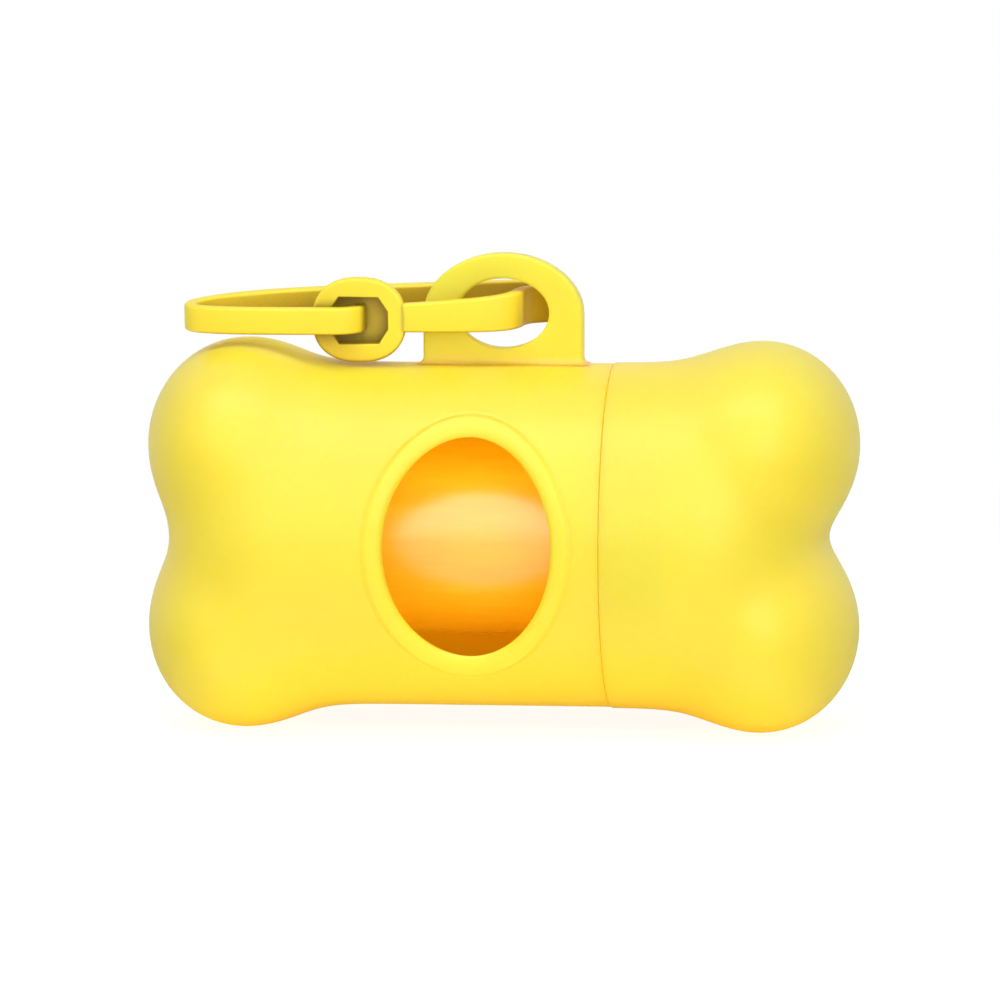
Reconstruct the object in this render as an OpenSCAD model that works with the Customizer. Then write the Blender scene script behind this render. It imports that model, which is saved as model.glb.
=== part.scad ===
// Bone-shaped dispenser for a roll of bags, with a strap to hang it from a lead.
// +X runs along the bone towards the cap, +Z is up and -Y is the side with the window.
// The origin lies below the middle of the bone, on the surface that its knobs stand on.

/* [Bone] */
// Length of the closed bone, from end to end
bone_l = 82; // [78:0.5:90]
// Height of the bone over its knobs
bone_h = 45; // [43.5:0.5:48]
// Outside diameter of the tube between the knobs
tube_d = 39.5; // [38.5:0.25:41]
// Thickness of the shell's wall
wall = 2; // [1.6:0.1:2.4]
// Distance from the middle of the bone to the seam
seam_x = 12.7; // [11.5:0.1:14]

/* [Knobs] */
// Length of a knob along the bone
knob_l = 21.8; // [20.6:0.2:24]
// Height of a knob
knob_h = 23.4; // [22:0.2:26]
// How far a knob's front and back lie inside those of the tube
knob_sink = 2.15; // [1:0.05:3]
// Softness with which the knobs run into the tube
blend = 1.6; // [1:0.1:2]
// Radius of the rounding at the tube's ends, under the knobs
end_round = 13.5; // [12:0.5:16]
// Distance from the middle of the bone to the tube's closed end in the body
body_reach = 37.3; // [36.5:0.1:38.5]
// Distance from the middle of the bone to the tube's closed end in the cap
cap_reach = 35.4; // [34.5:0.1:37]

/* [Cap fit] */
// Length of the neck that the cap slides on to
neck_l = 7; // [5:0.5:9]
// Clearance between the neck and the cap, on the radius
neck_fit = 0.05; // [0.03:0.01:0.1]
// How far the cap stands proud of the body at the seam
cap_step = 0.12; // [0:0.02:0.3]
// Width of the open line at the seam
seam_gap = 0.08; // [0.04:0.02:0.3]

/* [Window] */
// Width of the window, along the bone
window_w = 19.2; // [16:0.2:22]
// Height of the window
window_h = 25.2; // [22:0.2:27]
// Place of the window's middle, along the bone
window_x = -2.3; // [-5:0.1:0]
// Width of the raised rim round the window
rim_w = 2.3; // [1.5:0.1:3]
// How far the rim stands proud of the tube
rim_rise = 0.3; // [0.1:0.05:0.4]

/* [Ear] */
// Width of the ear that the strap goes through
ear_w = 18.4; // [16:0.2:20]
// Thickness of the ear
ear_t = 2.8; // [2.2:0.1:3.2]
// Height of the ear above the tube
ear_h = 12.7; // [12.2:0.1:14]
// Height of the ear's rounded top
ear_arch = 7.1; // [6:0.1:8]
// Width of the hole in the ear
hole_w = 10.6; // [10.4:0.1:11.5]
// Height of the hole in the ear
hole_h = 8; // [7.8:0.1:8.6]
// Distance from the top of the ear to the middle of its hole
hole_drop = 6.9; // [6.4:0.1:7.2]

/* [Strap] */
// Thickness of the band
band_t = 1.5; // [1.2:0.1:1.7]
// Width of the band at its narrow end, by the tongue
band_w = 3.1; // [2.6:0.1:3.4]
// Width of the band where it passes through the ear
band_wide = 4.3; // [3.6:0.1:4.4]
// Thickness of the eye and of the button that it holds
eye_t = 1.6; // [1.2:0.1:1.8]
// Width of the eye
eye_w = 10.8; // [10:0.2:12]
// Height of the eye
eye_h = 9.8; // [9:0.2:10.4]
// Width of the hole in the eye
slot_w = 6.7; // [6:0.1:7.2]
// Height of the hole in the eye
slot_h = 5.4; // [4.6:0.1:5.8]
// How far the button reaches past the hole all round
button_lap = 0.7; // [0.4:0.1:1]
// Tilt of the strap towards the front
strap_roll = 5.5; // [4:0.5:7]

/* [Bag roll] */
// Length of the roll of bags
roll_l = 58; // [52:0.5:60]
// Diameter of the wound film
film_d = 23; // [18:0.5:30]
// Outside diameter of the cardboard core
core_d = 14; // [13:0.5:17]
// Wall of the cardboard core
core_wall = 1; // [0.6:0.1:1.4]
// Clearance between a hub and the core's bore, on the radius
hub_fit = 0.08; // [0.05:0.01:0.1]
// How far each hub reaches into the core
hub_l = 5; // [3:0.5:8]
// End play of the roll, at each end
end_play = 0.4; // [0.3:0.1:1]

/* [Hidden] */

yellow = [1, 0.93, 0.25];
band_yellow = [1, 0.94, 0.3];
film_orange = [0.98, 0.66, 0.15];
card_brown = [0.72, 0.58, 0.42];

$fn = 96;
tiny = 0.001;
over = 1;                       // how far a cut runs past what it cuts
tube_r = tube_d / 2;
bore_r = tube_r - wall;
neck_r = tube_r - wall / 2;
axis_h = bone_h / 2;

// The rounded skin: rings of points along the tube, then over the end
skin_sides = 56;
dome_x = 16;                    // where the rings start to lean over the end
dome_steps = 20;
halvings = 16;

// Running a knob into the tube adds this much to its crown, and about half of it to its end
knob_swell = blend * ln(1 + exp(-tube_gap([(bone_l - knob_l) / 2, 0, axis_h], tube_r, body_reach) / blend));
knob_d = tube_d - 2 * knob_sink;
knob_x = (bone_l - knob_l - knob_swell) / 2;
knob_z = (bone_h - knob_h) / 2 - knob_swell;

// The space inside each end follows the tube; the knobs thicken the cap's end, so it goes deeper
cave_round = end_round - wall;
body_cave = body_reach - wall;
cap_cave = cap_reach - wall / 2;
cave_steps = 10;

core_bore_r = core_d / 2 - core_wall;
hub_r = core_bore_r - hub_fit;
hub_lead = 0.6;                 // bevel at a hub's mouth
collar_r = core_d / 2 + 1.2;
film_gap = 0.03;                // lets the first turn of film lie on the core
film_round = 0.5;

neck_lead = [0.3, 0.5];         // bevel at the neck's mouth: across, along

ear_root = tube_r - wall / 2;   // the ear starts inside the tube's wall
hole_z = tube_r + ear_h - hole_drop;

// The strap's route seen from above: from the eye, through the ear, round and back to the eye
eye_x = -16.3;
eye_y = -3.6;
eye_drop = 0.35;                // the eye's middle lies this far below the middle of the ear's hole
button_gap = 0.35;              // open space between the eye and the button
slot_cut = [0.16, 0.31];        // corners cut off the eye's hole, as shares of its width and height
button_cut = [0.2, 0.34];
strap_route = [
    [-11.4, -3.6], [-6.5, -3.8], [-2.2, -3.7], [0.4, -2.7], [1.45, -1], [1.85, 0.6], [2.7, 2.1], [5, 3.6],
    [4.9, 6.2], [1.6, 6.8], [-6, 6.5], [-15, 6], [-22, 5.5], [-28, 4.3], [-33, 1.7], [-35.8, -1.2],
    [-35.3, -4.2], [-32, -5.5], [-27, -5.8], [-22, -5.7], [-18.4, -5.5], [-16.8, -4.6], [-16.4, -3.4], [-16.4, -2.1]
];
route_steps = 5;
band_lift = 1.3;                // space between the knobs and the band's lower edge
low_edge = axis_h + band_lift;
ear_rise = 0.6;                 // the band's middle lies this far above the middle of the ear's hole
turn_x = 2;                     // right of here the band is at its widest
flat_x = eye_x + 3;             // left of here the near band's edges are level
pivot = [1, 0, hole_z + ear_rise]; // what the strap swings and tilts about, inside the ear's hole

function clamp0(v) = max(v, 0);

// Signed gap from a point to the tube with its rounded end; x grows towards the end
function tube_gap(p, r, end_l) =
    let (along = p.x - (end_l - end_round), out = norm([p.y, p.z]) - (r - end_round))
    norm([clamp0(along), clamp0(out)]) + min(max(along, out), 0) - end_round;

// Signed gap from a point to the upper (side = 1) or lower (side = -1) knob
function knob_gap(p, side) =
    let (v = p - [knob_x, 0, side * knob_z],
         share = norm([v.x / knob_l, v.y / knob_d, v.z / knob_h]) * 2)
    norm(v) * (1 - 1 / max(share, tiny));

// The three shapes run into each other softly
function bone_gap(p, r, end_l) =
    -blend * ln(exp(-tube_gap(p, r, end_l) / blend)
              + exp(-knob_gap(p, 1) / blend)
              + exp(-knob_gap(p, -1) / blend));

// Distance from a point inside the bone to its skin, by halving
function reach(from, way, r, end_l, low = 0, high = bone_l / 2, left = halvings) =
    let (mid = (low + high) / 2)
    left == 0 ? mid
    : bone_gap(from + way * mid, r, end_l) > 0 ? reach(from, way, r, end_l, low, mid, left - 1)
    : reach(from, way, r, end_l, mid, high, left - 1);

function skin_ring(x, lean, r, end_l) = [
    for (i = [0 : skin_sides - 1])
        let (turn = 360 * i / skin_sides,
             way = [cos(lean), sin(lean) * cos(turn), sin(lean) * sin(turn)])
        [x, 0, 0] + way * reach([x, 0, 0], way, r, end_l)
];

// One end of the bone as a closed solid, from its flat face at x = start to the end's middle
module bone_end(start, r, end_l) {
    rings = concat(
        [for (x = [start, (start + dome_x) / 2, dome_x]) skin_ring(x, 90, r, end_l)],
        [for (i = [1 : dome_steps - 1]) skin_ring(dome_x, 90 * (1 - i / dome_steps), r, end_l)]
    );
    tip = [dome_x + reach([dome_x, 0, 0], [1, 0, 0], r, end_l), 0, 0];
    n = skin_sides;
    last = len(rings) - 1;
    points = concat([for (ring = rings) for (p = ring) p], [tip]);
    faces = concat(
        [[for (i = [0 : n - 1]) i]],
        [for (k = [0 : last - 1]) for (i = [0 : n - 1]) [k * n + i, (k + 1) * n + i, (k + 1) * n + (i + 1) % n]],
        [for (k = [0 : last - 1]) for (i = [0 : n - 1]) [k * n + i, (k + 1) * n + (i + 1) % n, k * n + (i + 1) % n]],
        [for (i = [0 : n - 1]) [last * n + i, len(points) - 1, last * n + (i + 1) % n]]
    );
    polyhedron(points, faces, convexity = 6);
}

// A turned solid with its axis along +X; profile points are [radius, x]
module turned(profile) {
    rotate([0, 90, 0]) rotate_extrude() polygon(profile);
}

// The space inside an end: straight bore, then a rounded end wall
module cave(from, end_l) {
    centre = [bore_r - cave_round, end_l - cave_round];
    corner = [for (i = [0 : cave_steps]) centre + cave_round * [cos(90 * i / cave_steps), sin(90 * i / cave_steps)]];
    turned(concat([[0, from], [bore_r, from]], corner, [[0, end_l]]));
}

// A stub on an end wall that carries the roll's core; the collar keeps the roll from sliding
module hub(end_l) {
    collar_x = roll_l / 2 + end_play;
    mouth = roll_l / 2 - hub_l;
    turned([[0, mouth], [hub_r - hub_lead, mouth], [hub_r, mouth + hub_lead],
            [hub_r, collar_x], [collar_r, collar_x], [collar_r, end_l + wall / 2], [0, end_l + wall / 2]]);
}

module oval(w, h) {
    polygon([for (i = [0 : $fn - 1]) [w / 2 * cos(360 * i / $fn), h / 2 * sin(360 * i / $fn)]]);
}

// Stands a flat outline up in the XZ plane, centred on y = 0
module upright(t) {
    rotate([90, 0, 0]) linear_extrude(t, center = true) children();
}

module window_cut(grow) {
    translate([window_x, -tube_r, 0]) upright(tube_d) oval(window_w + 2 * grow, window_h + 2 * grow);
}

module window_rim() {
    intersection() {
        window_cut(rim_w);
        translate([window_x, 0, 0]) rotate([0, 90, 0])
            cylinder(h = window_w + 2 * rim_w + over, r = tube_r + rim_rise, center = true);
    }
}

module ear() {
    straight = tube_r + ear_h - ear_arch;
    upright(ear_t) difference() {
        union() {
            translate([-ear_w / 2, ear_root]) square([ear_w, straight - ear_root]);
            intersection() {
                translate([0, straight]) oval(ear_w, 2 * ear_arch);
                translate([-ear_w / 2, ear_root]) square([ear_w, bone_h]);
            }
        }
        translate([0, hole_z]) oval(hole_w, hole_h);
    }
}

// Neck for the cap, with a lead-in at its mouth
module neck() {
    turned([[0, seam_x - over], [neck_r, seam_x - over], [neck_r, seam_x + neck_l - neck_lead.y],
            [neck_r - neck_lead.x, seam_x + neck_l], [0, seam_x + neck_l]]);
}

module body_shell() {
    color(yellow) translate([0, 0, axis_h]) {
        difference() {
            union() {
                mirror([1, 0, 0]) bone_end(-seam_x, tube_r, body_reach);
                neck();
                window_rim();
                ear();
            }
            mirror([1, 0, 0]) cave(-seam_x - neck_l - over, body_cave);
            window_cut(0);
        }
        mirror([1, 0, 0]) hub(body_cave);
    }
}

module end_cap() {
    face = seam_x + seam_gap;
    sleeve_r = neck_r + neck_fit;
    color(yellow) translate([0, 0, axis_h]) {
        difference() {
            bone_end(face, tube_r + cap_step, cap_reach);
            cave(face + neck_l / 2, cap_cave);
            turned([[0, face - over], [sleeve_r, face - over], [sleeve_r, seam_x + neck_l + seam_gap],
                    [0, seam_x + neck_l + seam_gap]]);
        }
        hub(cap_cave);
    }
}

// Catmull-Rom curve through the strap's route
function curve(a, b, c, d, t) =
    0.5 * (2 * b + (c - a) * t + (2 * a - 5 * b + 4 * c - d) * t * t + (3 * b - 3 * c + d - a) * t * t * t);

function route_point(i) = strap_route[max(0, min(len(strap_route) - 1, i))];

strap_line = concat(
    [for (i = [0 : len(strap_route) - 2]) for (k = [0 : route_steps - 1])
        curve(route_point(i - 1), route_point(i), route_point(i + 1), route_point(i + 2), k / route_steps)],
    [route_point(len(strap_route) - 1)]
);

function across(i) =
    let (last = len(strap_line) - 1,
         step = strap_line[min(i + 1, last)] - strap_line[max(i - 1, 0)])
    [-step.y, step.x] / norm(step);

module band_outline() {
    left = [for (i = [0 : len(strap_line) - 1]) strap_line[i] + across(i) * band_t / 2];
    right = [for (i = [len(strap_line) - 1 : -1 : 0]) strap_line[i] - across(i) * band_t / 2];
    polygon(concat(left, right));
}

// The band seen from the front. It widens and rises towards the ear: the near side from the eye on, the far
// side all the way from the loop's left end.
module band_side(level_x) {
    far_l = bone_l / 2;
    low = hole_z + ear_rise - band_wide / 2;
    polygon([
        [-far_l, low_edge], [level_x, low_edge], [turn_x, low], [far_l, low],
        [far_l, low + band_wide], [turn_x, low + band_wide], [level_x, low_edge + band_w], [-far_l, low_edge + band_w]
    ]);
}

// Eight-sided outline with a bevel of its own each way
module eight_sided(w, h, cut) {
    polygon([for (s = [[1, 1], [-1, 1], [-1, -1], [1, -1]])
        for (k = s.x * s.y > 0 ? [0, 1] : [1, 0])
            k == 0 ? [s.x * w / 2, s.y * (h / 2 - cut.y)] : [s.x * (w / 2 - cut.x), s.y * h / 2]]);
}

module strap() {
    color(band_yellow) translate([0, 0, axis_h]) translate(pivot) rotate([strap_roll, 0, 0]) translate(-pivot) {
        for (side = [-1, 1])
            intersection() {
                translate([0, 0, knob_z]) linear_extrude(bone_h) band_outline();
                translate([0, side * bone_h / 4, 0]) upright(bone_h / 2) band_side(side < 0 ? flat_x : -bone_l / 2 + band_t);
            }
        // the eye, and the button behind it that the tongue ends in
        translate([eye_x, eye_y, hole_z - eye_drop]) {
            upright(eye_t) difference() {
                oval(eye_w, eye_h);
                eight_sided(slot_w, slot_h, [slot_w * slot_cut.x, slot_h * slot_cut.y]);
            }
            translate([0, eye_t + button_gap, 0]) upright(eye_t) eight_sided(
                slot_w + 2 * button_lap, slot_h + 2 * button_lap, [slot_w * button_cut.x, slot_h * button_cut.y]);
        }
    }
}

module roll_core() {
    r = core_d / 2;
    color(card_brown) translate([0, 0, axis_h]) rotate([0, 90, 0]) difference() {
        cylinder(h = roll_l, r = r, center = true);
        cylinder(h = roll_l + 2 * over, r = core_bore_r, center = true);
    }
}

module bag_roll() {
    r = film_d / 2;
    half = roll_l / 2;
    inner = core_d / 2 + film_gap;
    color(film_orange) translate([0, 0, axis_h])
        turned([[inner, -half], [r - film_round, -half], [r, film_round - half],
                [r, half - film_round], [r - film_round, half], [inner, half]]);
}

body_shell();
end_cap();
strap();
roll_core();
bag_roll();
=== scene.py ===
# Looks for the bone-shaped bag dispenser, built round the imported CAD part.
import math

import bmesh
import bpy
import numpy as np
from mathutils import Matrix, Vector


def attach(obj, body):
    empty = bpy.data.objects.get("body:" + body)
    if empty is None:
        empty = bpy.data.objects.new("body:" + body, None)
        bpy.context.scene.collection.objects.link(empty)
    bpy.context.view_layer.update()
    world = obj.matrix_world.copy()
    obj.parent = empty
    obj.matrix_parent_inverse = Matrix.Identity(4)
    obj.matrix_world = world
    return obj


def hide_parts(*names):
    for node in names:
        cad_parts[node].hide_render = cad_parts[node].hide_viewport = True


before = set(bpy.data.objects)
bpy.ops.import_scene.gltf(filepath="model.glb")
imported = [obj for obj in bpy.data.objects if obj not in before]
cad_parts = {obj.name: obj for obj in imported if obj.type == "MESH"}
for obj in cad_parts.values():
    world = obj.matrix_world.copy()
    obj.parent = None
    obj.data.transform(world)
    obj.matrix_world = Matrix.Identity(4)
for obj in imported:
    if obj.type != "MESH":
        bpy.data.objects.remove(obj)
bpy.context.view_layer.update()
print("frame loaded")

# Lengths here are in mm, with z measured from the tube's axis, until a piece is made
mm = 0.001
axisHeight = 22.5

meshing = {
    "weld": 2e-7, "tiny": 1e-7,     # metres
    "sharp": 38,                    # edges that turn more than this many degrees stay crisp
}


class Skin:
    # Gathers grids of points, then welds them into one piece
    def __init__(self):
        self.points = []
        self.faces = []

    def grid(self, rows, ring=False, loop=False):
        # ring joins each row's last point to its first, loop joins the last row to the first
        rows = np.asarray(rows, float)
        count, width = rows.shape[:2]
        start = len(self.points)
        self.points.extend(rows.reshape(-1, 3))
        for i in range(count if loop else count - 1):
            a = start + i * width
            b = start + (i + 1) % count * width
            for j in range(width if ring else width - 1):
                k = (j + 1) % width
                self.faces.append((a + j, b + j, b + k, a + k))

    def fan(self, ringPoints, tip):
        start = len(self.points)
        self.points.extend(np.asarray(ringPoints, float))
        self.points.append(np.asarray(tip, float))
        count = len(ringPoints)
        for j in range(count):
            self.faces.append((start + j, start + (j + 1) % count, start + count))

    def piece(self, name, body, node, slot, material):
        points = np.asarray(self.points) + (0, 0, axisHeight)
        mesh = bpy.data.meshes.new(name)
        work = bmesh.new()
        verts = [work.verts.new(p) for p in points * mm]
        for face in self.faces:
            work.faces.new([verts[i] for i in face])
        bmesh.ops.remove_doubles(work, verts=work.verts, dist=meshing["weld"])
        bmesh.ops.dissolve_degenerate(work, edges=work.edges, dist=meshing["tiny"])
        bmesh.ops.recalc_face_normals(work, faces=work.faces)
        openEdges = sum(1 for e in work.edges if len(e.link_faces) != 2)
        work.to_mesh(mesh)
        work.free()
        mesh.shade_smooth()
        mesh.set_sharp_from_angle(angle=math.radians(meshing["sharp"]))
        thing = bpy.data.objects.new(name, mesh)
        bpy.context.scene.collection.objects.link(thing)
        mesh.materials.append(material)
        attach(thing, body)
        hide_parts(node)
        print(name, len(mesh.polygons), "faces,", openEdges, "open edges")


# Signs and start angles of a rectangle's round corners, against the clock
fourCorners = ((1, 1, 0), (-1, 1, 90), (-1, -1, 180), (1, -1, 270))


def arc(centre, radius, fromAngle, toAngle, steps):
    # Points on a circle in a flat profile, angles in degrees
    turn = np.radians(np.linspace(fromAngle, toAngle, steps + 1))
    return np.stack([centre[0] + radius * np.cos(turn), centre[1] + radius * np.sin(turn)], -1)


def quarter(steps):
    # The angles of a quarter turn, for rounding an edge
    return np.radians(np.linspace(0, 90, steps + 1))


def onTube(x, turn, radius):
    # Points round the axis, by place along it, angle up from the front, and distance from it
    x, turn, radius = np.broadcast_arrays(x, turn, radius)
    return np.stack([x, -radius * np.cos(turn), radius * np.sin(turn)], -1)


def smooth(t):
    t = np.clip(t, 0, 1)
    return t * t * (3 - 2 * t)


class Value:
    # One output in a material's graph; arithmetic on it adds Math nodes
    def __init__(self, graph, socket):
        self.graph = graph
        self.socket = socket

    def maths(self, operation, *parts):
        return self.graph.node("Math", {"operation": operation}, dict(enumerate(parts)))

    def __add__(self, other):
        return self.maths("ADD", self, other)

    __radd__ = __add__

    def __sub__(self, other):
        return self.maths("SUBTRACT", self, other)

    def __rsub__(self, other):
        return self.maths("SUBTRACT", other, self)

    def __mul__(self, other):
        return self.maths("MULTIPLY", self, other)

    __rmul__ = __mul__

    def larger(self, other):
        return self.maths("MAXIMUM", self, other)

    def step(self, low, high, fromValue=0.0, toValue=1.0):
        settings = {"interpolation_type": "SMOOTHSTEP"}
        limits = {"From Min": low, "From Max": high, "To Min": fromValue, "To Max": toValue}
        return self.graph.node("MapRange", settings, {"Value": self, **limits})


class Finish:
    # A material, or the world, and the ways to add nodes to it
    def __init__(self, name, kind="materials"):
        self.material = getattr(bpy.data, kind).new(name)
        self.material.use_nodes = True
        self.tree = self.material.node_tree
        self.tree.nodes.clear()

    def node(self, kind, settings=None, values=None, output=0):
        made = self.tree.nodes.new("ShaderNode" + kind)
        for key, setting in (settings or {}).items():
            setattr(made, key, setting)
        for key, value in (values or {}).items():
            if isinstance(value, Value):
                self.tree.links.new(value.socket, made.inputs[key])
            else:
                made.inputs[key].default_value = value
        return Value(self, made.outputs[output])

    def place(self, scale=(1, 1, 1)):
        # Object coordinates in mm, so that noise scales are features per mm
        spot = self.node("TexCoord", output="Object")
        size = [s / mm for s in scale]
        return self.node("VectorMath", {"operation": "MULTIPLY"}, {0: spot, 1: size})

    def noise(self, where, scale, detail=2.0, roughness=0.5):
        values = {"Vector": where, "Scale": scale, "Detail": detail, "Roughness": roughness}
        return self.node("TexNoise", {"noise_dimensions": "3D"}, values)

    def mix(self, factor, first, second):
        return self.node("Mix", {"data_type": "RGBA"}, {0: factor, 6: first, 7: second}, output=2)

    def bump(self, height, distance, strength=1.0, normal=None):
        values = {"Height": height, "Distance": distance, "Strength": strength}
        if normal:
            values["Normal"] = normal
        return self.node("Bump", {}, values)

    def seenDirectly(self, inGloss=1.0):
        # 1 for what the camera sees, also through something clear, and in a gloss by the given share
        kinds = ("Camera", "Transmission", "Glossy")
        camera, clear, glossy = [self.node("LightPath", output="Is %s Ray" % kind) for kind in kinds]
        return camera.larger(clear).larger(glossy * inGloss)

    def letsThrough(self, shader, tone):
        # The lamps' light passes each face of the surface, tinted, and everything else meets the shader
        clear = self.node("BsdfTransparent", {}, {"Color": (*tone, 1)})
        shadow = self.node("LightPath", output="Is Shadow Ray")
        return self.node("MixShader", {}, {0: shadow, 1: shader, 2: clear})

    def output(self, shader, kind="OutputMaterial"):
        end = self.tree.nodes.new("ShaderNode" + kind)
        self.tree.links.new(shader.socket, end.inputs["Surface"])


# What the mould leaves on both plastics: features per mm, and how strongly they show
mouldMarks = {
    "mottle": 0.055, "flow": 0.4, "ripple": 0.16,
    "flowRoughness": 0.06, "grainRoughness": 0.04, "rippleHeight": 0.05,
    "refraction": 1.48,
}

shellLook = {
    "base": (1.0, 0.785, 0.045),
    "deep": (1.0, 0.75, 0.037),     # the colour in the deeper patches of the mottle
    "roughness": 0.4,
    "grain": 5.5,                   # features per mm of the mould's fine grain
    "grainHeight": 0.004,           # mm
    "glow": 1.0,                    # how much of the light goes into the plastic
    "glowDepth": 4.0,               # how many mm it goes there, in red
    "glowSpread": (1.0, 0.8, 0.2),
    "through": (1.0, 0.85, 0.15),   # the share of the lamps' light that passes one face of a wall
}

bandLook = {
    "base": (0.97, 0.78, 0.045), "deep": (0.95, 0.74, 0.035), "roughness": 0.44,
    "grain": 6.0, "grainHeight": 0.004,
    "glow": 0.5, "glowDepth": 0.8, "glowSpread": (1.0, 0.8, 0.2),
    "paintedShadeReach": 12,                   # painted shade: mm within which other faces darken the colour
    "paintedShadeRange": (0.35, 0.75),       # shares of open air at which the painted shade is full, and gone
    # the colour painted in as shade where the strap's parts are close
    "paintedShadeTone": (0.4, 0.28, 0.01),
}


def mouldedPlastic(name, look):
    finish = Finish(name)
    where = finish.place()
    mottle = finish.noise(where, mouldMarks["mottle"], 3.0)
    flow = finish.noise(where, mouldMarks["flow"], 2.0)
    grain = finish.noise(where, look["grain"], 2.0, 0.6)
    ripple = finish.noise(where, mouldMarks["ripple"], 1.0)
    colour = finish.mix(mottle.step(0.3, 0.7), (*look["base"], 1), (*look["deep"], 1))
    if "paintedShadeReach" in look:
        # painted shade: ambient occlusion darkens the base colour between the eye and its button, and
        # behind the near band
        within = {"Distance": look["paintedShadeReach"] * mm}
        occlusionForShade = finish.node("AmbientOcclusion", {"samples": 8}, within, output="AO")
        colour = finish.mix(occlusionForShade.step(*look["paintedShadeRange"]), (*look["paintedShadeTone"], 1), colour)
    uneven = (flow - 0.5) * mouldMarks["flowRoughness"] + grain * mouldMarks["grainRoughness"]
    waves = finish.bump(ripple, mouldMarks["rippleHeight"] * mm, 0.5)
    skin = finish.bump(grain, look["grainHeight"] * mm, 0.6, waves)
    plastic = finish.node("BsdfPrincipled", {}, {
        "Base Color": colour, "Roughness": look["roughness"] + uneven, "Normal": skin,
        "IOR": mouldMarks["refraction"],
        "Subsurface Weight": look["glow"], "Subsurface Radius": look["glowSpread"],
        "Subsurface Scale": look["glowDepth"] * mm,
    })
    if "through" in look:
        # the thin walls are translucent, so that some light reaches the inside
        plastic = finish.letsThrough(plastic, look["through"])
    finish.output(plastic)
    return finish.material


filmLook = {
    "base": (0.95, 0.54, 0.01), "pale": (0.96, 0.58, 0.015),
    "streaks": 1.2, "creases": 0.22,    # features per mm round the roll
    "streakLength": 0.12, "creaseLength": 0.5,      # their scale along it, and less is longer
    "winding": 0.03, "crease": 0.35,    # their heights in mm
    "roughness": 0.26, "streakRoughness": 0.1, "coatRoughness": 0.28, "refraction": 1.85,
    "glow": 0.15, "glowDepth": 1.0, "glowSpread": (1.0, 0.4, 0.1),
    "through": (0.9, 0.5, 0.05),
}


def orangeFilm():
    finish = Finish("orangeFilm")
    streaks = finish.noise(finish.place((filmLook["streakLength"], 1, 1)), filmLook["streaks"], 3.0)
    creases = finish.noise(finish.place((filmLook["creaseLength"], 1, 1)), filmLook["creases"], 2.0, 0.4)
    colour = finish.mix(streaks.step(0.3, 0.75), (*filmLook["base"], 1), (*filmLook["pale"], 1))
    skin = finish.bump(creases, filmLook["crease"] * mm, 0.5)
    wound = finish.bump(streaks, filmLook["winding"] * mm, 0.5, skin)
    film = finish.node("BsdfPrincipled", {}, {
        "Base Color": colour, "Roughness": filmLook["roughness"] + streaks * filmLook["streakRoughness"],
        "Normal": wound, "IOR": filmLook["refraction"],
        "Coat Weight": 1.0, "Coat Roughness": filmLook["coatRoughness"],
        "Subsurface Weight": filmLook["glow"], "Subsurface Radius": filmLook["glowSpread"],
        "Subsurface Scale": filmLook["glowDepth"] * mm,
    })
    finish.output(finish.letsThrough(film, filmLook["through"]))
    return finish.material


cardLook = {
    "base": (0.36, 0.22, 0.11), "fibre": (0.55, 0.38, 0.22), "aged": (0.62, 0.46, 0.3), "agedShare": 0.35,
    "fibres": 2.5, "fibreLength": 0.35, "blotches": 0.25,      # features per mm, and scale along the core
    "fibreHeight": 0.06, "roughness": 0.78, "fibreRoughness": 0.15, "refraction": 1.4,
}


def brownCard():
    finish = Finish("brownCard")
    fibres = finish.noise(finish.place((cardLook["fibreLength"], 1, 1)), cardLook["fibres"], 4.0, 0.65)
    blotches = finish.noise(finish.place(), cardLook["blotches"], 2.0)
    colour = finish.mix(fibres.step(0.25, 0.8), (*cardLook["base"], 1), (*cardLook["fibre"], 1))
    ageing = blotches.step(0.35, 0.75, 0, cardLook["agedShare"])
    finish.output(finish.node("BsdfPrincipled", {}, {
        "Base Color": finish.mix(ageing, colour, (*cardLook["aged"], 1)),
        "Roughness": cardLook["roughness"] + fibres * cardLook["fibreRoughness"],
        "Normal": finish.bump(fibres, cardLook["fibreHeight"] * mm, 0.7), "IOR": cardLook["refraction"],
    }))
    return finish.material


shellPlastic = mouldedPlastic("shellPlastic", shellLook)
strapPlastic = mouldedPlastic("strapPlastic", bandLook)
filmSkin = orangeFilm()
cardSkin = brownCard()
print("materials made")


bone = {
    "length": 82, "height": 45, "tubeRadius": 19.75, "wall": 2,
    "endRound": 13.5, "bodyReach": 37.3, "capReach": 35.4,      # the tube's ends, without the knobs
    "knobLength": 21.8, "knobDepth": 35.2, "knobHeight": 23.4,
    "blend": 1.6, "knobSwell": 0.13,        # how softly they run together, and how much that lifts a knob
    "seam": 12.7, "seamGap": 0.08, "capStep": 0.12, "edgeRound": 0.12,
    "neckRadius": 18.75, "neckLength": 7, "neckFit": 0.05, "neckFoot": 0.1, "neckMouth": 0.2,
    "neckLead": [(0.5, 0), (0.12, 0.22), (0, 0.4)],     # back from the neck's end, and in from its side
    "sleeveLead": 0.3, "domeStart": 16, "domeRings": 64, "halvings": 26,
}
boreRadius = bone["tubeRadius"] - bone["wall"]
columnStep = 1.5
patchHalf = 72      # the window's patch runs this many degrees up and down from the front
columns = np.radians(np.arange(-patchHalf, 360 - patchHalf, columnStep))
patchColumns = int(2 * patchHalf / columnStep) + 1


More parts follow.
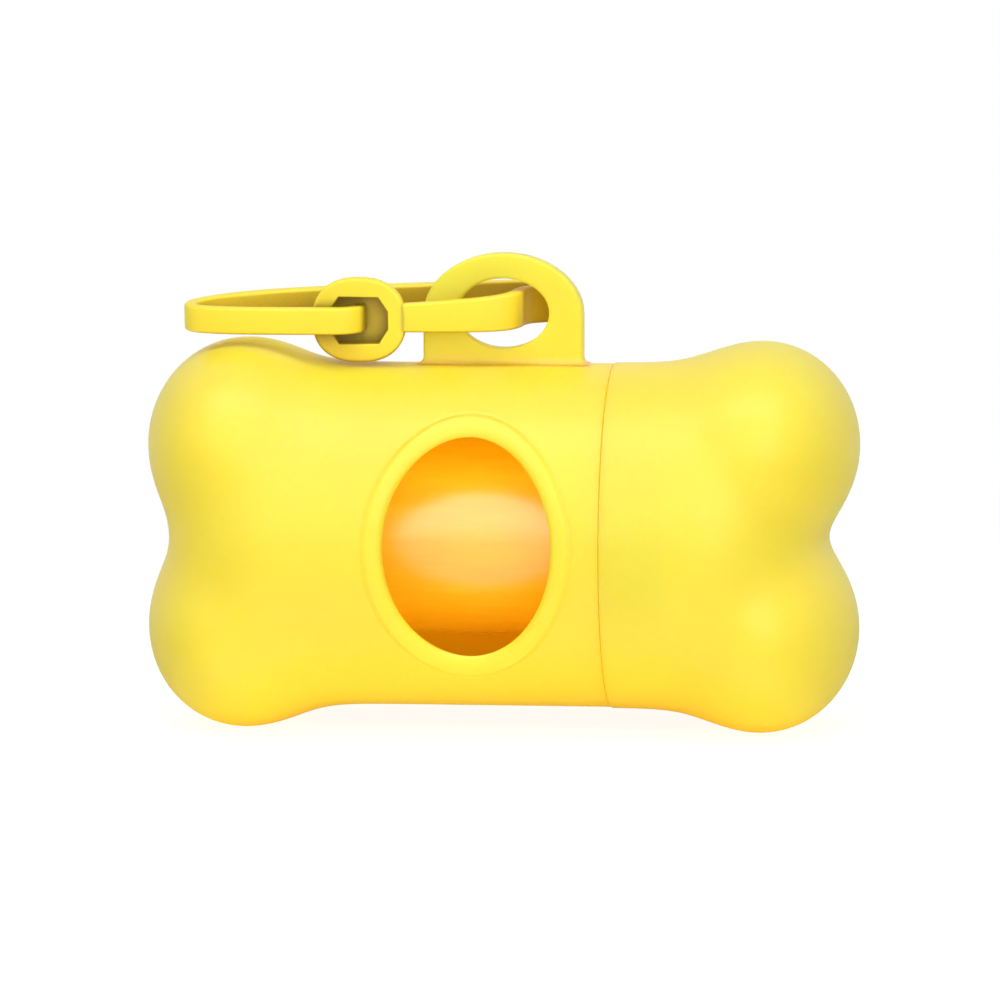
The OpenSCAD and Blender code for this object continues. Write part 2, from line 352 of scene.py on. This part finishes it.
def boneGap(points, radius, reach):
    # Distance outside the bone: a tube with round ends and two knobs, softly joined
    x, y, z = points[..., 0], points[..., 1], points[..., 2]
    along = x - (reach - bone["endRound"])
    out = np.hypot(y, z) - (radius - bone["endRound"])
    tube = np.hypot(np.maximum(along, 0), np.maximum(out, 0)) + np.minimum(np.maximum(along, out), 0)
    total = np.exp(-(tube - bone["endRound"]) / bone["blend"])
    knobX = (bone["length"] - bone["knobLength"] - bone["knobSwell"]) / 2
    knobZ = (bone["height"] - bone["knobHeight"]) / 2 - bone["knobSwell"]
    size = np.array([bone["knobLength"], bone["knobDepth"], bone["knobHeight"]])
    for side in (1, -1):
        away = points - (knobX, 0, side * knobZ)
        share = np.linalg.norm(2 * away / size, axis=-1)
        gap = np.linalg.norm(away, axis=-1) * (1 - 1 / np.maximum(share, 1e-3))
        total = total + np.exp(-gap / bone["blend"])
    return -bone["blend"] * np.log(total)


def skinReach(origins, ways, radius, reach):
    # How far the skin lies from each origin along its way, found by halving
    low = np.zeros(origins.shape[:-1])
    high = np.full(origins.shape[:-1], bone["length"] / 2)
    for _ in range(bone["halvings"]):
        middle = (low + high) / 2
        outside = boneGap(origins + ways * middle[..., None], radius, reach) > 0
        high = np.where(outside, middle, high)
        low = np.where(outside, low, middle)
    return (low + high) / 2


def endSizes(side):
    # side is -1 for the body and 1 for the cap
    if side < 0:
        return bone["tubeRadius"], bone["bodyReach"]
    return bone["tubeRadius"] + bone["capStep"], bone["capReach"]


def skinRadius(x, turn, side):
    # Radius of the skin round the axis
    x, turn = np.broadcast_arrays(np.asarray(x, float), np.asarray(turn, float))
    return skinReach(onTube(side * x, turn, 0), onTube(0, turn, 1), *endSizes(side))


def ringAt(x, radius):
    # A ring round the axis; radius may vary round it
    return onTube(x, columns, radius)


def turned(profile):
    # Rings from a profile of (x, radius) points
    return [ringAt(x, radius) for x, radius in profile]


def dome(side):
    # Rings of rays that lean over from the dome's start to the end's middle
    start = np.array([bone["domeStart"], 0, 0.0])
    rings = []
    for i in range(bone["domeRings"]):
        lean = math.radians(90 * (1 - i / bone["domeRings"]))
        ways = onTube(math.cos(lean), columns, math.sin(lean))
        points = start + ways * skinReach(start + 0 * ways, ways, *endSizes(side))[:, None]
        rings.append(points * (side, 1, 1))
    tip = bone["domeStart"] + skinReach(start[None], np.array([[1.0, 0, 0]]), *endSizes(side))[0]
    return rings, (side * tip, 0, 0)


# The hub in each end that carries the roll: a stub on a wider collar
hub = {
    "stub": 5.92, "collar": 8.2, "collarAt": 29.4, "mouth": 24,
    "lead": 0.6, "leadRound": 0.12, "tipRound": 0.1, "round": 0.25,
}


def caveProfile(caveEnd):
    # From the straight bore over the rounded end wall, down the hub to its middle; x grows outwards
    corner = bone["endRound"] - bone["wall"]
    centre = (caveEnd - corner, boreRadius - corner)
    stop = 90 - math.degrees(math.acos((hub["collar"] - centre[1]) / corner))
    soft = hub["round"]
    mouth = hub["mouth"]
    tip = hub["stub"] - hub["lead"]
    return [
        *arc(centre, corner, 90, stop, 24),
        *arc((hub["collarAt"] + soft, hub["collar"] - soft), soft, 90, 180, 4),
        (hub["collarAt"], hub["stub"]), (mouth + hub["lead"], hub["stub"]),
        (mouth + hub["leadRound"], tip + hub["leadRound"]), (mouth, tip - hub["tipRound"]),
    ]


window = {
    "width": 19.2, "height": 25.2, "middle": -2.3,
    "rimWidth": 2.35, "rimRise": 0.28, "crown": 0.35,       # the crown lifts the rim above and below
    "shoulder": 0.7,                                        # the rim's outer slope
    "lip": 1.5, "lipDepth": 0.85, "lipPower": 2.4, "innerLip": 0.3,
    "groove": 0.05, "grooveOut": 0.06, "grooveHalf": 0.12,
    "patchEnd": 12.35, "patchSteps": 56, "spreadSteps": 14, "spreadEase": 0.4,
    # places of rings out from the edge, close together at the groove
    "outerRings": [1.6, 1.7, 1.8, 1.9, 2.0, 2.1, 2.18, 2.25, 2.31, 2.36, 2.41, 2.47, 2.55, 2.65,
                   2.8, 3.0, 3.2],
    "innerRings": [0.8, 1.6, 2.6],
}
patchXs = np.linspace(-bone["domeStart"], window["patchEnd"], window["patchSteps"] + 1)


def rimHeight(d, around):
    # Height over the tube at distance d from the window's edge: a soft bead with a fine groove outside it
    rise = window["rimRise"] + window["crown"] * np.sin(around) ** 2
    inner = np.clip(1 - d / window["lip"], 0, 1)
    rounded = window["lipDepth"] * (np.sqrt(1 - inner ** window["lipPower"]) - 1)
    outwards = d - window["rimWidth"]
    shoulder = 1 - smooth((outwards + window["shoulder"]) / window["shoulder"])
    groove = -window["groove"] * np.exp(-((outwards - window["grooveOut"]) / window["grooveHalf"]) ** 2)
    return rise * shoulder + rounded + groove


def boreLipHeight(d, around):
    # The rounded edge inside, the same all around
    soft = window["innerLip"]
    inner = np.clip(1 - d / soft, 0, 1)
    return soft * (1 - np.sqrt(1 - inner ** 2))


def patchEdge():
    # Points (x, turn) round the patch, against the clock from the lower right corner
    half = math.radians(patchHalf)
    turns = columns[:patchColumns]
    right = [(patchXs[-1], t) for t in turns[:-1]]
    top = [(x, half) for x in patchXs[:0:-1]]
    left = [(patchXs[0], t) for t in turns[:0:-1]]
    bottom = [(x, -half) for x in patchXs[:-1]]
    return np.array(right + top + left + bottom)


def windowPatch(distances, heightAt, baseRadius, radiusAt):
    # Rings round the window, then rings that spread to the patch's edge
    edge = patchEdge()
    halfW = window["width"] / 2
    halfH = window["height"] / 2
    far = distances[-1]
    spreadTurn = math.asin((halfH + far) / baseRadius)
    around = np.arctan2(edge[:, 1] / spreadTurn, (edge[:, 0] - window["middle"]) / (halfW + far))
    rows = []
    for d in distances:
        x = window["middle"] + (halfW + d) * np.cos(around)
        turn = np.arcsin((halfH + d) * np.sin(around) / baseRadius)
        rows.append(onTube(x, turn, radiusAt(x, turn) + heightAt(d, around)))
    lastX, lastTurn = x, turn
    ease = window["spreadEase"]
    for w in np.linspace(0, 1, window["spreadSteps"] + 1)[1:]:
        w = w * (1 - ease + ease * w)
        x = (1 - w) * lastX + w * edge[:, 0]
        turn = (1 - w) * lastTurn + w * edge[:, 1]
        rows.append(onTube(x, turn, radiusAt(x, turn)))
    return rows


def besidePatch(radiusAt):
    # The rest of the tube, from one side of the window's patch round the back to the other
    back = np.append(columns[patchColumns - 1:], columns[0] + 2 * math.pi)
    return [onTube(x, back, radiusAt(x, back)) for x in patchXs]


def outerRadius(x, turn):
    return skinRadius(x, turn, -1)


def innerRadius(x, turn):
    return boreRadius


def bodySkin():
    skin = Skin()

    # outside and inside: the window's patch, and the rest of the tube beside it
    near = [window["lip"] * (1 - math.cos(a)) for a in quarter(14)]
    outerRows = windowPatch(near + window["outerRings"], rimHeight, bone["tubeRadius"], outerRadius)
    skin.grid(outerRows, ring=True)
    skin.grid(besidePatch(outerRadius))
    bevel = [window["innerLip"] * (1 - math.cos(a)) for a in quarter(5)]
    innerRows = windowPatch(bevel + window["innerRings"], boreLipHeight, boreRadius, innerRadius)
    skin.grid(innerRows, ring=True)
    skin.grid(besidePatch(innerRadius))

    # the window's wall joins the two lips
    outerEdge, innerEdge = outerRows[0], innerRows[0]
    skin.grid([outerEdge * (1 - w) + innerEdge * w for w in np.linspace(0, 1, 5)], ring=True)

    # seam face, neck and mouth
    soft = bone["edgeRound"]
    seam = bone["seam"]
    seamRadius = outerRadius(seam, columns)
    rings = [ringAt(patchXs[-1], outerRadius(patchXs[-1], columns))]
    for a in quarter(5):
        rings.append(ringAt(seam - soft + soft * math.sin(a), seamRadius - soft + soft * math.cos(a)))
    neck, foot, mouth = bone["neckRadius"], bone["neckFoot"], bone["neckMouth"]
    neckEnd = seam + bone["neckLength"]
    profile = [(seam, neck + foot), (seam + foot, neck)]
    profile += [(neckEnd - back, neck - down) for back, down in bone["neckLead"]]
    profile += [(neckEnd, boreRadius + mouth), (neckEnd - mouth, boreRadius)]
    profile += [(x, boreRadius) for x in np.linspace(neckEnd - mouth - 1, patchXs[-1], 8)]
    skin.grid(rings + turned(profile), ring=True)

    # the closed end, outside and inside
    rings, tip = dome(-1)
    skin.grid(rings, ring=True)
    skin.fan(rings[-1], tip)
    cave = caveProfile(bone["bodyReach"] - bone["wall"])
    straight = [(x, boreRadius) for x in np.linspace(bone["domeStart"], cave[0][0], 8)[:-1]]
    rings = [ringAt(-x, r) for x, r in straight + cave]
    skin.grid(rings, ring=True)
    skin.fan(rings[-1], (-hub["mouth"], 0, 0))
    return skin


def flatRings(profile, centre, angles):
    # Rings that face the front, from a profile of distances from the middle and depths behind it
    way = np.stack([np.cos(angles), 0 * angles, np.sin(angles)], -1)
    return [centre + way * d[:, None] + (0, y, 0) for d, y in profile]


def roundedRim(outer, half, soft, steps):
    return [(outer - soft + soft * math.sin(a), -half + soft * (1 - math.cos(a))) for a in quarter(steps)]


def plate(skin, centre, thickness, outlineAt, holeAt, angles, outerRound, holeRound, shift=None, steps=8):
    # A flat plate with a hole: rings run out along the front, over the edge and back behind
    outer = outlineAt(angles)
    inner = holeAt(angles)
    half = thickness / 2
    profile = [(inner + holeRound * (1 - math.cos(a)), -half + holeRound * (1 - math.sin(a)))
               for a in quarter(5)]
    for w in np.linspace(0, 1, steps + 2)[1:-1]:
        profile.append(((inner + holeRound) * (1 - w) + (outer - outerRound) * w, -half))
    profile += roundedRim(outer, half, outerRound, 5)
    profile += [(d, -y) for d, y in reversed(profile)]
    rings = flatRings(profile, centre, angles)
    if shift:
        rings = [shift(ring) for ring in rings]
    skin.grid(rings, ring=True, loop=True)


def solidPlate(skin, centre, thickness, outlineAt, angles, edgeRound):
    outer = outlineAt(angles)
    half = thickness / 2
    profile = [(outer * w, -half) for w in (0.15, 0.5, 0.8)]
    profile += roundedRim(outer, half, edgeRound, 4)
    profile += [(d, -y) for d, y in reversed(profile)]
    rings = flatRings(profile, centre, angles)
    skin.grid(rings, ring=True)
    for ring, y in ((rings[0], -half), (rings[-1], half)):
        skin.fan(ring, np.array(centre) + (0, y, 0))


def ovalAt(width, height, power=2):
    # Power 2 is a plain oval, and more is squarer
    def radius(angles):
        across = np.abs(np.cos(angles) * 2 / width) ** power
        upwards = np.abs(np.sin(angles) * 2 / height) ** power
        return (across + upwards) ** (-1 / power)
    return radius


def polygonAt(corners):
    # Distance from the middle to a convex outline, along each angle
    def radius(angles):
        way = np.stack([np.cos(angles), np.sin(angles)], -1)
        best = np.full(len(angles), np.inf)
        for a, b in zip(corners, np.roll(corners, -1, axis=0)):
            normal = np.array([b[1] - a[1], a[0] - b[0]])
            facing = way @ normal
            reachAlong = normal @ a / np.where(np.abs(facing) < 1e-9, 1e-9, facing)
            best = np.where(reachAlong > 0, np.minimum(best, reachAlong), best)
        return best
    return radius


ear = {
    "width": 18.4, "thickness": 2.8, "height": 12.7, "arch": 7.1, "foot": 18.75,
    "holeWidth": 10.6, "holeHeight": 8, "holeDrop": 6.9, "round": 0.4, "holeRound": 0.3,
    "fillet": 0.8, "filletPower": 8,        # a higher power keeps the flare nearer the ear's ends
    "columns": 288, "rings": 12,
}
holeZ = bone["tubeRadius"] + ear["height"] - ear["holeDrop"]


def earOutline(angles):
    # Distance from the hole's middle to the ear's outline: straight sides under half an oval
    straight = bone["tubeRadius"] + ear["height"] - ear["arch"]
    c, s = np.cos(angles), np.sin(angles)
    half = ear["width"] / 2
    drop = holeZ - straight
    a = (c / half) ** 2 + (s / ear["arch"]) ** 2
    b = 2 * s * drop / ear["arch"] ** 2
    k = (drop / ear["arch"]) ** 2 - 1
    over = (-b + np.sqrt(b * b - 4 * a * k)) / (2 * a)
    side = half / np.maximum(np.abs(c), 1e-6)
    foot = np.where(s < 0, (holeZ - ear["foot"]) / np.maximum(-s, 1e-6), np.inf)
    return np.where(over * s + drop >= 0, over, np.minimum(side, foot))


def earFoot(points):
    # Flares the ear where it runs into the tube
    size = ear["fillet"]
    above = np.hypot(points[:, 1], points[:, 2]) - bone["tubeRadius"]
    inside = np.clip(size - above, 0, size)
    flare = size - np.sqrt(np.maximum(size * size - inside * inside, 0))
    toEnd = np.abs(points[:, 0]) / (ear["width"] / 2)
    moved = points.copy()
    moved[:, 0] += np.sign(points[:, 0]) * flare * toEnd ** ear["filletPower"]
    moved[:, 1] += flare * points[:, 1] / (ear["thickness"] / 2)
    return moved


bodySurface = bodySkin()
earAngles = np.linspace(0, 2 * math.pi, ear["columns"] + 1)[:-1]
earHole = ovalAt(ear["holeWidth"], ear["holeHeight"])
plate(bodySurface, (0, 0, holeZ), ear["thickness"], earOutline, earHole, earAngles,
      ear["round"], ear["holeRound"], shift=earFoot, steps=ear["rings"])
bodySurface.piece("bodyShell", "shell", "body_shell", "shell_plastic", shellPlastic)


def capSkin():
    skin = Skin()
    face = bone["seam"] + bone["seamGap"]
    step = face + bone["neckLength"]        # where the sleeve meets the end of the neck
    soft, lead, foot = bone["edgeRound"], bone["sleeveLead"], bone["neckFoot"]
    sleeve = bone["neckRadius"] + bone["neckFit"]
    radius = skinRadius(face, columns, 1)
    rings = []
    for a in quarter(5)[::-1]:
        rings.append(ringAt(face + soft - soft * math.sin(a), radius - soft + soft * math.cos(a)))
    for x in np.linspace(face + 2 * lead, bone["domeStart"], 6)[:-1]:
        rings.append(ringAt(x, skinRadius(x, columns, 1)))
    domeRings, tip = dome(1)
    skin.grid(rings + domeRings, ring=True)
    skin.fan(domeRings[-1], tip)
    profile = [(face, sleeve + lead), (face + lead, sleeve), (step, sleeve),
               (step, boreRadius + foot), (step + foot, boreRadius)]
    inner = turned(profile + caveProfile(bone["capReach"] - bone["wall"] / 2))
    skin.grid([rings[0]] + inner, ring=True)
    skin.fan(inner[-1], (hub["mouth"], 0, 0))
    return skin


capSkin().piece("endCap", "cap", "end_cap", "shell_plastic", shellPlastic)


strapLook = {
    # the band's middle line seen from above, from the eye through the ear and round to the tongue
    "route": [
        (-11.4, -3.6), (-6.5, -3.8), (-2.2, -3.7), (0.4, -2.7), (1.45, -1), (1.85, 0.6),
        (2.7, 2.1), (5, 3.6), (4.9, 6.2), (1.6, 6.8), (-6, 6.5), (-15, 6),
        (-22, 5.5), (-28, 4.3), (-33, 1.7), (-35.8, -1.2), (-35.3, -4.2), (-32, -5.5),
        (-27, -5.8), (-22, -5.7), (-18.4, -5.5), (-16.8, -4.6), (-16.4, -3.4), (-16.4, -2.1),
    ],
    "steps": 12,                    # sections from one point to the next
    "soften": 9,                    # sections to each side that a change of height is spread over
    "thickness": 1.5, "narrow": 3.1, "wide": 4.3, "lowEdge": 23.8, "round": 0.36,
    "rise": 0.6, "wideAt": 2, "nearLevel": -13.3, "farLevel": -39.5,
    "lean": 6, "leanFrom": -2, "leanOver": 8, "leanTo": -29.5, "leanOff": 5,
    "eye": (-16.3, -3.6, holeZ - 0.35), "eyeThickness": 1.6, "eyeWidth": 10.8, "eyeHeight": 9.8,
    "eyePower": 2.35, "eyeRound": 0.4, "slotRound": 0.2,
    "slotWidth": 6.7, "slotHeight": 5.4, "slotCut": (0.16, 0.31),
    "buttonLap": 0.7, "buttonGap": 0.35, "buttonCut": (0.2, 0.34), "buttonRound": 0.3,
    "tilt": 5.5, "pivot": (1, 0, holeZ + 0.6), "columns": 192,
}


def routeLine():
    # A smooth line through the route's points
    knots = np.array(strapLook["route"])
    line = []
    last = len(knots) - 1
    for i in range(last):
        a, b, c, d = (knots[min(max(k, 0), last)] for k in (i - 1, i, i + 1, i + 2))
        for t in np.linspace(0, 1, strapLook["steps"] + 1)[:-1]:
            line.append(0.5 * (2 * b + (c - a) * t + (2 * a - 5 * b + 4 * c - d) * t * t
                               + (3 * b - 3 * c + d - a) * t ** 3))
    line.append(knots[-1])
    return np.array(line)


def tilted(points):
    # The strap lies a little tilted about the line that it swings on
    pivot = np.array(strapLook["pivot"])
    turn = math.radians(strapLook["tilt"])
    c, s = math.cos(turn), math.sin(turn)
    turning = np.array([[1, 0, 0], [0, c, -s], [0, s, c]])
    return (np.asarray(points) - pivot) @ turning.T + pivot


def softened(values):
    width = strapLook["soften"]
    padded = np.pad(values, width, mode="edge")
    kernel = np.hanning(2 * width + 3)[1:-1]
    return np.convolve(padded, kernel / kernel.sum(), mode="valid")


def bandOutline(half, lean):
    # A rounded rectangle, leant over by an angle
    thick = strapLook["thickness"] / 2
    soft = strapLook["round"]
    outline = []
    for sx, sz, start in fourCorners:
        outline.extend(arc((sx * (thick - soft), sz * (half - soft)), soft, start, start + 90, 4))
    c, s = math.cos(lean), math.sin(lean)
    return np.array(outline) @ np.array([[c, -s], [s, c]])


def slotCorners(width, height, cut):
    # Eight corners of a rectangle, with a share of its width and height cut off at each
    w, h = width / 2, height / 2
    cornerX = w - width * cut[0]
    cornerZ = h - height * cut[1]
    return np.array([(w, -cornerZ), (w, cornerZ), (cornerX, h), (-cornerX, h),
                     (-w, cornerZ), (-w, -cornerZ), (-cornerX, -h), (cornerX, -h)])


def angleList(corners):
    # Even steps, with the outline's own corners among them
    even = np.linspace(0, 2 * math.pi, strapLook["columns"] + 1)[:-1]
    own = np.arctan2(corners[:, 1], corners[:, 0]) % (2 * math.pi)
    keep = [a for a in even if np.min(np.abs(a - own)) > 0.01]
    return np.sort(np.append(keep, own))


def strapSkin():
    skin = Skin()
    line = routeLine()
    x, y = line[:, 0], line[:, 1]

    # the band widens towards the ear, on the near side and on the far side
    level = np.where(y < 0, strapLook["nearLevel"], strapLook["farLevel"])
    toEar = np.clip((x - level) / (strapLook["wideAt"] - level), 0, 1)
    low, high = strapLook["lowEdge"], strapLook["lowEdge"] + strapLook["narrow"]
    earLow = holeZ + strapLook["rise"] - strapLook["wide"] / 2
    lower = softened(low + toEar * (earLow - low))
    upper = softened(high + toEar * (earLow + strapLook["wide"] - high))

    # the far band leans a little, with its upper edge towards the near one
    leaning = smooth((strapLook["leanFrom"] - x) / strapLook["leanOver"]) * (y > 0)
    leaning = leaning * (1 - smooth((strapLook["leanTo"] - x) / strapLook["leanOff"]))
    step = np.gradient(line, axis=0)
    across = np.stack([-step[:, 1], step[:, 0]], -1) / np.linalg.norm(step, axis=1)[:, None]
    sections = []
    for i in range(len(line)):
        outline = bandOutline((upper[i] - lower[i]) / 2, math.radians(strapLook["lean"] * leaning[i]))
        flat = line[i] + across[i] * outline[:, :1]
        sections.append(np.column_stack([flat, (upper[i] + lower[i]) / 2 + outline[:, 1]]))
    skin.grid(sections, ring=True)
    for end in (sections[0], sections[-1]):
        skin.fan(end, end.mean(axis=0))

    # the eye, and the button behind it
    eye, eyeThick = strapLook["eye"], strapLook["eyeThickness"]
    slotW, slotH, lap = strapLook["slotWidth"], strapLook["slotHeight"], strapLook["buttonLap"]
    slot = slotCorners(slotW, slotH, strapLook["slotCut"])
    button = slotCorners(slotW + 2 * lap, slotH + 2 * lap, strapLook["buttonCut"])
    rim = ovalAt(strapLook["eyeWidth"], strapLook["eyeHeight"], strapLook["eyePower"])
    plate(skin, eye, eyeThick, rim, polygonAt(slot), angleList(slot),
          strapLook["eyeRound"], strapLook["slotRound"])
    buttonAt = (eye[0], eye[1] + eyeThick + strapLook["buttonGap"], eye[2])
    solidPlate(skin, buttonAt, eyeThick, polygonAt(button), angleList(button), strapLook["buttonRound"])
    skin.points = list(tilted(skin.points))
    return skin


strapSkin().piece("hangingStrap", "strap", "strap", "strap_plastic", strapPlastic)


roll = {
    "length": 58, "core": 7, "coreBore": 6, "coreRound": 0.18, "film": 11.5, "gap": 0.03,
    "edgeAt": 205,          # where the film's outer edge lies, in degrees up from the front
    "edgeStep": 0.09, "edgeSharp": 40,
    "slack": 0.06, "waves": 5, "waveHeight": 0.012, "anyPhase": 6.28, "seed": 5,
    "ridges": 30, "ridgeDepth": 0.07, "ridgeWave": 0.3,     # the turns' edges at the roll's ends
    "firstRidge": 0.2, "lastRidge": 0.35, "boreEdge": 0.05,
    "endRound": 0.12, "endSoft": 0.4, "rings": 113,
}


def rollSkin():
    skin = Skin()
    half = roll["length"] / 2
    film = roll["film"]
    turn = np.radians(np.arange(0, 360, 2))
    since = ((turn - math.radians(roll["edgeAt"])) % (2 * math.pi)) / (2 * math.pi)
    step = roll["edgeStep"] * (1 - since) * smooth(since * roll["edgeSharp"])
    rng = np.random.default_rng(roll["seed"])
    waves = []
    for _ in range(roll["waves"]):
        turns, phase = rng.integers(1, 4), rng.uniform(0, roll["anyPhase"])
        along, shift = rng.uniform(0.05, 0.16), rng.uniform(0, roll["anyPhase"])
        waves.append((turns, phase, along, shift))

    def ring(x, radius, wavy=1.0):
        wobble = np.zeros(turn.shape)
        for turns, phase, along, shift in waves:
            wobble += roll["waveHeight"] * np.sin(turns * turn + phase) * np.sin(along * x * 2 + shift)
        return onTube(x, turn, radius + wavy * (wobble - roll["slack"] - step * 0.5))

    def depth(k):
        return roll["ridgeDepth"] * (k % 2)

    # out over one end, along the film, in over the other end, and back through the bore
    inner = roll["core"] + roll["gap"]
    soft, edge, wave, bore = roll["endRound"], roll["endSoft"], roll["ridgeWave"], roll["boreEdge"]
    ridges = np.linspace(inner + roll["firstRidge"], film - roll["lastRidge"], roll["ridges"])
    rows = [ring(-half + depth(k), radius, wave) for k, radius in enumerate(ridges)]
    rows += [ring(-half + soft, film - soft), ring(-half + edge, film)]
    rows += [ring(x, film) for x in np.linspace(-half + 1, half - 1, roll["rings"])]
    rows += [ring(half - edge, film), ring(half - soft, film - soft)]
    rows += [ring(half - depth(k), radius, wave) for k, radius in enumerate(reversed(ridges))]
    rows += [ring(half - bore, inner, 0), ring(-half + bore, inner, 0)]
    skin.grid(rows, ring=True, loop=True)
    return skin


def coreSkin():
    skin = Skin()
    half = roll["length"] / 2
    soft = roll["coreRound"]
    middle = (roll["core"] + roll["coreBore"]) / 2
    halfWall = (roll["core"] - roll["coreBore"]) / 2
    profile = []
    for sx, sr, start in fourCorners:
        corner = (sx * (half - soft), middle + sr * (halfWall - soft))
        profile.extend(arc(corner, soft, start, start + 90, 3))
        if start in (0, 180):
            # the long straight side that follows this corner
            for x in np.linspace(sx * (half - 1), -sx * (half - 1), 59):
                profile.append((x, middle + sr * halfWall))
    turn = np.radians(np.arange(0, 360, 3))
    skin.grid([onTube(x, turn, r) for x, r in profile], ring=True, loop=True)
    return skin


rollSkin().piece("filmRoll", "roll", "bag_roll", "bag_film", filmSkin)
coreSkin().piece("cardCore", "roll", "roll_core", "core_card", cardSkin)
print("pieces made")


studio = {
    # azimuth and elevation in degrees, distance and size in metres, and the strength of the light
    "lamps": {
        "topLamp": (0, 76, 0.9, (1.3, 0.3), 0.5),
        "frontLamp": (-3, 38, 0.9, (1.5, 1.2), 0.77),
        "rightLamp": (30, 14, 0.9, (0.6, 0.6), 0.2),
        "lowLamp": (0, -50, 0.9, (1.3, 0.7), 0.24),
    },
    "fill": 0.16,                           # the world's light on the object
    "table": 0.04,                          # what the table adds to it from below
    "tableLift": 0.86, "tableShade": 0.3,   # the white that the camera sees, and how a shadow darkens it
    "fadeFrom": 90, "fadeTo": 300,          # mm from the middle, over which the table turns plain white
    "tableTones": (0.78, 0.82), "tableRoughness": 0.9, "tableHalf": 6.0,
    "azimuth": 6.2, "elevation": 5.5, "distance": 0.85,
    "lens": 265.6, "sensor": 36, "clipEnd": 20,
    "aside": -0.46, "up": 3.9,              # mm that the view's middle lies from the tube's middle
}
white = (1, 1, 1, 1)


def floorFinish():
    # A pale table, open to the lamp below it. The camera sees it white but for the object's shadow, and
    # further off it is white in a gloss too.
    finish = Finish("tablePaint")
    where = finish.place()
    away = finish.node("VectorMath", {"operation": "LENGTH"}, {0: where}, output="Value")
    far = away.step(studio["fadeFrom"], studio["fadeTo"])
    grain = finish.noise(where, 0.02, 2.0)
    darker, paler = [(tone, tone, tone, 1) for tone in studio["tableTones"]]
    plain = finish.node("BsdfPrincipled", {}, {
        "Base Color": finish.mix(grain, darker, paler),
        "Roughness": studio["tableRoughness"], "Specular IOR Level": 0.0,
        "Emission Color": white, "Emission Strength": studio["table"],
    })
    table = finish.letsThrough(plain, (1, 1, 1))
    shade = studio["tableShade"]
    shaded = finish.node("BsdfDiffuse", {}, {"Color": (shade, shade, shade, 1)})
    lift = finish.node("Emission", {}, {"Color": white, "Strength": studio["tableLift"]})
    close = finish.node("AddShader", {}, {0: shaded, 1: lift})
    distant = finish.node("Emission", {}, {"Color": white, "Strength": 1.0})
    seen = finish.node("MixShader", {}, {0: far, 1: close, 2: distant})
    finish.output(finish.node("MixShader", {}, {0: finish.seenDirectly(far), 1: table, 2: seen}))
    return finish.material


def makeFloor():
    half = studio["tableHalf"]
    mesh = bpy.data.meshes.new("floor")
    corners = [(-half, -half, 0), (half, -half, 0), (half, half, 0), (-half, half, 0)]
    mesh.from_pydata(corners, [], [(0, 1, 2, 3)])
    mesh.materials.append(floorFinish())
    thing = bpy.data.objects.new("floor", mesh)
    bpy.context.scene.collection.objects.link(thing)


def direction(azimuth, elevation):
    a, e = math.radians(azimuth), math.radians(elevation)
    return Vector((math.sin(a) * math.cos(e), -math.cos(a) * math.cos(e), math.sin(e)))


def softLamp(name, azimuth, elevation, distance, size, strength):
    # strength is the light that a surface facing the lamp gets, where 1 shows its colour as written
    lamp = bpy.data.lights.new(name, "AREA")
    lamp.shape = "RECTANGLE"
    lamp.size, lamp.size_y = size
    lamp.energy = strength * math.pi * math.pi * distance * distance
    thing = bpy.data.objects.new(name, lamp)
    way = direction(azimuth, elevation)
    thing.location = Vector((0, 0, axisHeight * mm)) + way * distance
    thing.rotation_euler = way.to_track_quat("Z", "Y").to_euler()
    bpy.context.scene.collection.objects.link(thing)


def makeWorld():
    air = Finish("studioAir", "worlds")
    bpy.context.scene.world = air.material
    light = air.node("Background", {}, {"Color": white, "Strength": studio["fill"]})
    seen = air.node("Background", {}, {"Color": white, "Strength": 1.0})
    air.output(air.node("MixShader", {}, {0: air.seenDirectly(), 1: light, 2: seen}), "OutputWorld")


def makeCamera():
    data = bpy.data.cameras.new("photoView")
    data.lens = studio["lens"]
    data.sensor_width = studio["sensor"]
    data.clip_end = studio["clipEnd"]
    camera = bpy.data.objects.new("photoView", data)
    way = direction(studio["azimuth"], studio["elevation"])
    turn = way.to_track_quat("Z", "Y")
    right = turn @ Vector((1, 0, 0))
    up = turn @ Vector((0, 1, 0))
    middle = Vector((0, 0, axisHeight * mm)) + right * studio["aside"] * mm + up * studio["up"] * mm
    camera.location = middle + way * studio["distance"]
    camera.rotation_euler = turn.to_euler()
    bpy.context.scene.collection.objects.link(camera)
    bpy.context.scene.camera = camera


makeFloor()
makeWorld()
for name, lamp in studio["lamps"].items():
    softLamp(name, *lamp)
makeCamera()
bpy.context.scene.view_settings.view_transform = "Standard"
print("studio made")
